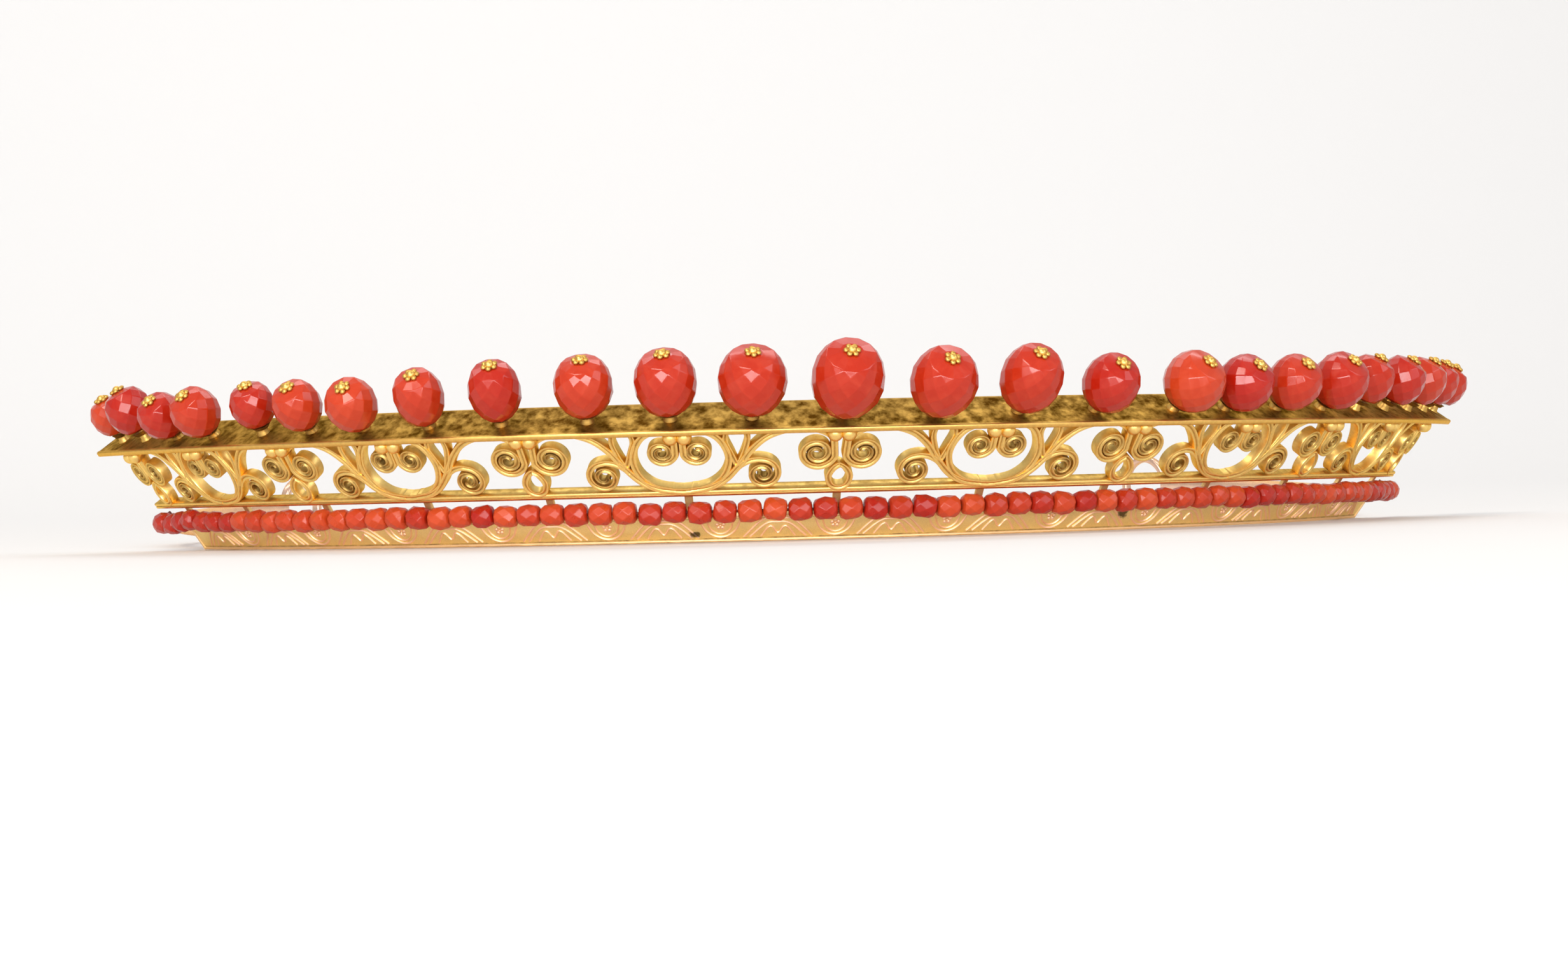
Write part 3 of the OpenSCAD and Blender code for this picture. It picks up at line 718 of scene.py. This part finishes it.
def stain_band(z, t, lines):
    """Tints the band's raised lines, and lays a dark stain at each place of the photograph: a
    blot whose edge is its distance from the middle, made ragged by noise."""
    shader = next(n for n in t.nodes if n.type == "BSDF_PRINCIPLED")
    under = shader.inputs["Base Color"].links[0].from_socket
    raised = put(t, "ShaderNodeAttribute", attribute_name="raised").outputs["Fac"]
    colour_now = mixed_over(t, raised, under, tuple(lines))
    place = put(t, "ShaderNodeTexCoord").outputs["Object"]
    ragged = put(t, "ShaderNodeTexNoise", {"Vector": place, "Scale": 1800.0}).outputs["Fac"]
    reach = 0.0009
    for angle, up, width in STAINS:
        spot = on_wall(z, angle, up * z.band_h, 0.0) / 1000
        away = put(t, "ShaderNodeVectorMath", {0: place, 1: spot.tolist()},
                   operation="DISTANCE").outputs["Value"]
        edge = calc(t, "MULTIPLY_ADD", ragged, reach, away)
        blot = remap(t, edge, (width * 0.6 + 0.45) / 1000, (width + 0.45) / 1000, 0.85, 0.0)
        colour_now = mixed_over(t, blot, colour_now, linear("#3A2A14"))
    t.links.new(colour_now, shader.inputs["Base Color"])


def head_hoop(z, metal):
    """The hoop: a flattened round wire on a circle that leans so that its eyes stand level,
    with a ring across each end and a lug towards each end of the band."""
    shell = Shell("grime")
    wire_r = z.hoop_r - z.wire_w / 2
    front = z.wire_h / 2 + 0.1
    lean = math.degrees(math.asin((z.eye_d / 2 - front)
                                  / (wire_r * (1 - math.cos(math.radians(z.eye_angle))))))
    tilt, pivot = turned(x=lean), np.array([0, -wire_r, front])

    def in_plane(p):
        return (p + [0, wire_r, 0]) @ tilt.T + pivot

    rim = (z.eye_d - z.eye_bore) / 2
    end = z.eye_angle - math.degrees(math.asin((z.eye_d / 2 - rim / 2) / wire_r))
    u = np.radians(np.linspace(-end, end, 361))[:, None]
    v = np.linspace(0, 2 * math.pi, 24, endpoint=False)[None, :]
    power = 3.2
    squarish = (np.abs(np.cos(v)) ** power + np.abs(np.sin(v)) ** power) ** (-1 / power)
    # the wire is hammered a little flatter and narrower where it meets an eye
    near = np.clip((end - np.degrees(np.abs(u))) / 7, 0, 1)
    thin = 0.62 + 0.38 * near * near * (3 - 2 * near)
    ra = z.wire_w / 2 * squarish * np.cos(v) * thin
    rb = z.wire_h / 2 * squarish * np.sin(v) * (0.85 + 0.15 * near)
    shell.grid(in_plane(xyz((wire_r + ra) * np.sin(u), -(wire_r + ra) * np.cos(u), rb)), grime=0.0)
    across, along = rounded(rim, z.eye_len, 0.28, 4).T[:, None]
    a = np.linspace(0, 2 * math.pi, 72, endpoint=False)[:, None]
    r = (z.eye_d + z.eye_bore) / 4 + across
    eye = xyz(r * np.cos(a), -along, r * np.sin(a)) + [0, -wire_r, 0]
    wide, high = rounded(z.lug_w, z.wire_h * 0.8, 0.25).T[:, None]
    reach = np.array([[wire_r], [z.wall_r - z.band_t - 0.05]])
    lug = xyz(wide, -reach, front + 0.2 + high)
    for side in (-1, 1):
        shell.grid(in_plane(eye @ turned(z=side * z.eye_angle).T), closed_u=True, grime=0.15)
        shell.grid(lug @ turned(z=side * z.lug_angle).T, grime=0.15)
    shell.build("hoop_wire", metal,
                       ["head_hoop", "eye_left", "eye_right"], sharp=60)


def bead_rail(z, metal):
    """The flat rail with a lip at its outer edge, and on it each bead's turned post and cup,
    its pin, and a floret of six lobes round a ball on the pin's end."""
    shell = Shell("grime")
    t, a, b, e = z.rail_t, -z.rail_in, z.rail_out, 0.12
    section = np.array([
        [0, a + e, 0.3], [e, a, 0.2], [t - e, a, 0.2], [t, a + e, 0.5], [t - 0.03, a + 0.4, 1.0],
        [t - 0.05, (a + b) / 2, 1.0], [t - 0.04, b - 0.5, 1.0], [t, b - 0.3, 0.55],
        [t, b - e, 0.15], [t - e, b, 0.0], [e, b, 0.0], [0, b - e, 0.1], [0, 0.6, 0.3]])
    lay_rail(shell, z, z.rail_half, levels(z)["rail"], section)
    cup_share, lobes = 0.235, 6
    for i, row in enumerate(BEADS):
        pin = pin_turn(z, i)
        foot = on_wall(z, bead_angle(z, i), levels(z)["posts"], 0.0)
        cup = z.bead_w * row[WIDTH] * cup_share
        top = z.post_h + z.cup_h
        # the post is painted half dark
        shell.lathe([[0.72, -0.3], [0.72, 0.02], [0.6, 0.2], [0.56, z.post_h - 0.05]], foot, pin,
                    grime=0.45)
        # the cup is painted almost fully dark: painted shadow of the bead that sits in it
        shell.lathe([[0.58, z.post_h - 0.06], [0.78, z.post_h], [cup - 0.1, top - 0.12],
                     [cup, top - 0.04], [cup - 0.05, top], [0.4, top - 0.1]], foot, pin, grime=0.95)
        tip = top + 0.15 + z.bead_len * row[LENGTH]
        shell.lathe([[z.pin_d / 2, top - 0.2], [z.pin_d / 2, tip + 0.1]], foot, pin, 12, grime=0.3)
        d = z.floret_d
        # the lobes are painted darker than the clean ball in their middle, so the floret's pale
        # centre is partly a painted highlight
        for k in range(lobes):
            a = math.radians(360 / lobes * k + 20 * i)
            shell.ball(foot + pin @ [0.34 * d * math.cos(a), 0.34 * d * math.sin(a), tip + 0.12],
                       np.array([0.17, 0.17, 0.13]) * d, pin, 6, 10, grime=0.4)
        shell.ball(foot + pin @ [0, 0, tip + 0.18], np.array([0.27, 0.27, 0.24]) * d, pin, 8, 14,
                   grime=0.0)
    shell.build("rail_and_pins", metal, ["bead_rail", "bead_pins"], sharp=50)


def cut_lattice(rings, sides):
    """Points and faces of a bead cut in lozenges: every second ring is turned by half a step,
    each lozenge spans three rings, and the first and last rings close the ends with a low
    dome of flat facets round a small flat."""
    n = len(rings)
    j = np.arange(sides)
    turn = 0.5 * (np.arange(n) % 2 == 0)
    turn[[0, -1]] = 0
    a = 2 * math.pi * (j[None, :] + turn[:, None]) / sides
    r, h = rings[:, :1], rings[:, 1:]
    p = xyz(r * np.cos(a), r * np.sin(a), h).reshape(-1, 3)

    def at(k, q):
        return k * sides + q % sides

    blocks = []
    for k in range(1, n - 3):
        # in ring k + 1 the corners just before and just after corner j of ring k
        before = at(k + 1, j - k % 2)
        after = at(k + 1, j - k % 2 + 1)
        blocks.append(np.stack([after, at(k + 2, j), before, at(k, j)], -1))
    for end, k, m in ((0, 1, 2), (n - 1, n - 2, n - 3)):
        blocks += [np.stack([at(k, j), at(k, j + 1), at(m, j)], -1),
                   np.stack([at(k, j), at(k, j + 1), at(end, j + 1), at(end, j)], -1),
                   [at(end, j)]]
    return p, blocks


def lozenge_rings(radius, length, sides, share):
    """Rings whose lozenges are flat: the next radius lies on the line through the ring before
    last and the last one's chord, which is its radius times the cosine of half a step. The
    last share is the small flat at the end."""
    thinnest, flat = 0.35 * radius, 0.3 * radius
    c = math.cos(math.pi / sides)
    heights = np.array(share) * length / 2
    r = [radius, radius * (1 + c) / 2]
    for k in range(2, len(share) - 1):
        slope = (r[k - 1] * c - r[k - 2]) / (heights[k - 1] - heights[k - 2])
        r.append(max(thinnest, r[k - 2] + slope * (heights[k] - heights[k - 2])))
    up = np.stack([r + [flat], heights], -1)
    return np.vstack([(up * [1, -1])[:0:-1], up])


def coral_beads(z, coral):
    """The top beads: lozenge-cut, a little egg-shaped and each one slightly different, drawn
    towards the foot by a perspective map, which keeps the cut faces flat."""
    widest = 0.512
    for i, row in enumerate(BEADS):
        rng = np.random.default_rng(100 + i)
        shell = Shell("tone")
        w, length = z.bead_w * row[WIDTH], z.bead_len * row[LENGTH]
        sides, share = LARGE_CUT if row[WIDTH] > LARGE else SMALL_CUT
        p, faces = cut_lattice(lozenge_rings(0.5, 1.0, sides, share), sides)
        p = p * (1 + rng.normal(0, 0.008, (len(p), 1)) * [1, 1, 0])
        egg = rng.uniform(0.0, 0.12)
        p = p / (1 - egg * p[:, 2:])
        p[:, 2] = (p[:, 2] - p[:, 2].min()) / np.ptp(p[:, 2]) - 0.5
        p[:, :2] *= widest / np.linalg.norm(p[:, :2], axis=1).max()
        p = p * [w, w, length]
        pin, spin = pin_turn(z, i), turned(z=rng.uniform(0, 360))
        foot = on_wall(z, bead_angle(z, i), levels(z)["posts"], 0.0)
        p = (p @ spin.T + [0, 0, z.post_h + z.cup_h + 0.1 + length / 2]) @ pin.T + foot
        shell.add(p, faces, tone=rng.uniform(0, 0.7))
        name = "coral_bead_%02d" % (i + 1)
        shell.build("cut_" + name, coral, [name], sharp=8, bevel=0.07)


def coral_string(z, coral):
    """The string: small stout beads with few cut faces, each with its own size, twist and
    slight tilt, set end to end along the wall."""
    string_s, bead_gap = levels(z)["string"], 0.06
    step = z.string_end / z.string_half
    r = wall_radius(z, string_s) + z.string_out * math.cos(math.radians(z.flare))
    room = r * math.radians(step)
    for side, half in ((-1, "left"), (1, "right")):
        shell = Shell("tone")
        for k in range(z.string_half):
            rng = np.random.default_rng(1000 + k * 2 + (side > 0))
            p, faces = cut_lattice(STRING_RINGS, STRING_SIDES)
            p = p * (1 + rng.normal(0, 0.02, (len(p), 1)))
            d = z.string_d * rng.uniform(0.94, 1.04)
            p = p * [d, d, (room - bead_gap) * rng.uniform(0.95, 1.0)]
            angle = side * (k + 0.5) * step
            tilt = turned(x=rng.normal(0, 3), z=rng.normal(0, 5))
            axis = turned(z=angle) @ turned(x=z.flare) @ tilt @ turned(y=90 + rng.normal(0, 5))
            place = on_wall(z, angle, string_s + rng.normal(0, 0.09), z.string_out)
            shell.add(p @ turned(z=rng.uniform(0, 360)).T @ axis.T + place, faces,
                      tone=rng.uniform(0, 1.0))
        shell.build("string_" + half, coral, ["coral_string_" + half], sharp=10,
                    bevel=0.06)


def studio(colours):
    """A pale floor that curves up behind into a backdrop, soft lamps, and the camera at the
    photograph's azimuth, lens and distance, just above the floor."""
    bend = 700
    u = np.linspace(-1, 1, 3)[:, None]
    t = np.linspace(0, math.pi / 2, 16)
    y = np.r_[-1600, -400, 300, 500 + bend * np.sin(t), 1200][None, :]
    up = np.r_[0, 0, 0, bend * (1 - np.cos(t)), 2600][None, :]
    p = xyz(2600 * u, y, up) / 1000
    n, m = p.shape[:2]
    faces = [[i * m + j, (i + 1) * m + j, (i + 1) * m + j + 1, i * m + j + 1]
             for i in range(n - 1) for j in range(m - 1)]
    mesh = bpy.data.meshes.new("floor")
    mesh.from_pydata(p.reshape(-1, 3).tolist(), [], faces)
    mesh.shade_smooth()
    floor = add_object("floor", mesh)
    paper, t, shader = material("matte_paper")
    fill(t, shader, {"Base Color": tuple(colours.floor), "Roughness": 0.85})
    mesh.materials.append(paper)
    world = bpy.data.worlds.new("studio")
    world.use_nodes = True
    sky = world.node_tree.nodes["Background"]
    fill(world.node_tree, sky, {"Color": linear("#F3F5F8"), "Strength": 0.62})
    bpy.context.scene.world = world
    diadem, backdrop = (0, -0.06, 0.01), (0, 1.2, 0.35)
    # name, place, aim and size in metres, power in watts, and tint
    lamps = (
        ("key", (-0.35, -0.55, 0.62), diadem, (0.4, 0.25), 4.0, "#FFF6EA"),
        ("fill", (0.60, -0.45, 0.35), diadem, (0.4, 0.4), 1.4, "#F2F6FF"),
        ("front", (-0.10, -0.72, 0.07), diadem, (0.8, 0.13), 4.5, "#FFFFFF"),
        ("rim", (0.10, 0.35, 0.75), diadem, (0.8, 0.3), 1.0, "#FFFFFF"),
        ("wash", (0.0, 0.45, 1.1), backdrop, (2.0, 0.3), 9.0, "#FFFFFF"),
    )
    for name, place, aim, size, power, tint in lamps:
        light = bpy.data.lights.new(name, "AREA")
        light.shape, light.size, light.size_y = "RECTANGLE", *size
        light.energy, light.color = power, linear(tint)[:3]
        back = np.array(place) - aim
        right = np.cross([0, 0, 1], back)
        up = np.cross(back, right)
        stand(name, light, right / np.linalg.norm(right), up / np.linalg.norm(up), place)
    photo_camera()
    # the photograph's own plain contrast
    bpy.context.scene.view_settings.view_transform = "Standard"


def photo_camera():
    """The camera looks level along the photograph's azimuth and is rolled as the photograph is.
    It stands back, to the side and up by three distances in metres. The lens is 6 mm above the
    floor, the nearest to the photograph's angle that a floor allows."""
    azimuth, roll = 0.1085, 0.0256
    distance, aside, height = 0.3619, 0.0033, 0.005986
    ahead = np.array([math.sin(azimuth), math.cos(azimuth), 0])
    right = np.array([math.cos(azimuth), -math.sin(azimuth), 0])
    up = np.array([0, 0, 1])
    c, s = math.cos(roll), math.sin(roll)
    data = bpy.data.cameras.new("photo_view")
    # 4494 px of a 2464 px wide frame on a 36 mm sensor
    data.sensor_width, data.lens = 36.0, 36.0 * 4494 / 2464
    data.clip_start, data.clip_end = 0.01, 10
    bpy.context.scene.camera = stand("photo_view", data, c * right - s * up, s * right + c * up,
                                     aside * right + height * up - distance * ahead)


def stand(name, data, right, up, place):
    """Stands a lamp or a camera at its place, with its right side and its top turned as given."""
    obj = add_object(name, data)
    pose = np.eye(4)
    pose[:3] = np.stack([right, up, np.cross(right, up), place], -1)
    obj.matrix_world = Matrix(pose.tolist())
    return obj


class DIADEM_OT_hoop(bpy.types.Operator):
    """Build the head hoop with its eyes and lugs"""

    bl_idname = "diadem.hoop"
    bl_label = "Head Hoop"

    def execute(self, context):
        z, c = context.scene.diadem_sizes, context.scene.diadem_colours
        # drawn wire, polished and rose gilt: long soft highlights with faint rub marks
        head_hoop(z, gilt("polished_rose_gilt", c.hoop, c.patina, 0.24, 1.5, 3, 0.6))
        return {"FINISHED"}


class DIADEM_OT_band(bpy.types.Operator):
    """Build the engraved band"""

    bl_idname = "diadem.band"
    bl_label = "Engraved Band"

    def execute(self, context):
        z, c = context.scene.diadem_sizes, context.scene.diadem_colours
        # stamped and matted gilt plate: a fine even grain that scatters the light
        metal = gilt("matted_gilt", c.band, c.patina, 0.52, 0.12, 10, 0.7)
        stain_band(z, metal.node_tree, c.lines)
        engraved_band(z, metal)
        return {"FINISHED"}


class DIADEM_OT_gallery(bpy.types.Operator):
    """Build the pierced scroll gallery"""

    bl_idname = "diadem.gallery"
    bl_label = "Scroll Gallery"

    def execute(self, context):
        z, c = context.scene.diadem_sizes, context.scene.diadem_colours
        # filigree strip, pickled and gilt: a satin skin, with painted shade in the grooves and
        # spiral hearts
        scroll_gallery(z, gilt("satin_gilt", c.gallery, c.patina, 0.34, 0.25, 8, 0.75))
        return {"FINISHED"}


class DIADEM_OT_rail(bpy.types.Operator):
    """Build the bead rail with its cups, pins and florets"""

    bl_idname = "diadem.rail"
    bl_label = "Bead Rail"

    def execute(self, context):
        z, c = context.scene.diadem_sizes, context.scene.diadem_colours
        # rolled strip with a brown patina on its upper face, rubbed bright at the lip; the same
        # brown paints the shadow of each bead in its cup
        bead_rail(z, gilt("patinated_gilt", c.rail, c.patina, 0.36, 0.4, 10, 0.9, 0.04))
        return {"FINISHED"}


class DIADEM_OT_beads(bpy.types.Operator):
    """Build the cut coral beads on the rail"""

    bl_idname = "diadem.beads"
    bl_label = "Coral Beads"

    def execute(self, context):
        z, c = context.scene.diadem_sizes, context.scene.diadem_colours
        coral_beads(z, cut_coral("polished_coral", c.coral, c.coral_pale, 0.17))
        return {"FINISHED"}


class DIADEM_OT_string(bpy.types.Operator):
    """Build the string of small coral beads and finish its thread"""

    bl_idname = "diadem.string"
    bl_label = "Coral String"

    def execute(self, context):
        z, c = context.scene.diadem_sizes, context.scene.diadem_colours
        coral_string(z, cut_coral("small_cut_coral", c.coral, c.coral_pale, 0.30))
        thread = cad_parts["string_thread"]
        thread.data.materials.clear()
        thread.data.materials.append(silk(c.thread))
        return {"FINISHED"}


class DIADEM_OT_stage(bpy.types.Operator):
    """Set the floor, the lamps and the camera"""

    bl_idname = "diadem.stage"
    bl_label = "Stage"

    def execute(self, context):
        studio(context.scene.diadem_colours)
        return {"FINISHED"}


class DIADEM_PT_panel(bpy.types.Panel):
    """Lists the diadem's pieces, sizes and colours"""

    bl_idname = "DIADEM_PT_panel"
    bl_label = "Diadem"
    bl_space_type = "VIEW_3D"
    bl_region_type = "UI"
    bl_category = "Diadem"

    def draw(self, context):
        for operator in OPERATORS:
            self.layout.operator(operator.bl_idname)
        for group in (context.scene.diadem_sizes, context.scene.diadem_colours):
            box = self.layout.box()
            for name in group.__annotations__:
                box.prop(group, name)


OPERATORS = (DIADEM_OT_hoop, DIADEM_OT_band, DIADEM_OT_gallery, DIADEM_OT_rail, DIADEM_OT_beads,
             DIADEM_OT_string, DIADEM_OT_stage)
CLASSES = (DiademSizes, DiademColours, *OPERATORS, DIADEM_PT_panel)


def register():
    for cls in CLASSES:
        bpy.utils.register_class(cls)
    bpy.types.Scene.diadem_sizes = bpy.props.PointerProperty(type=DiademSizes)
    bpy.types.Scene.diadem_colours = bpy.props.PointerProperty(type=DiademColours)


def unregister():
    del bpy.types.Scene.diadem_sizes
    del bpy.types.Scene.diadem_colours
    for cls in reversed(CLASSES):
        bpy.utils.unregister_class(cls)


def main():
    register()
    for piece in ("hoop", "band", "gallery", "rail", "beads", "string", "stage"):
        getattr(bpy.ops.diadem, piece)()


if __name__ == "__main__":
    main()
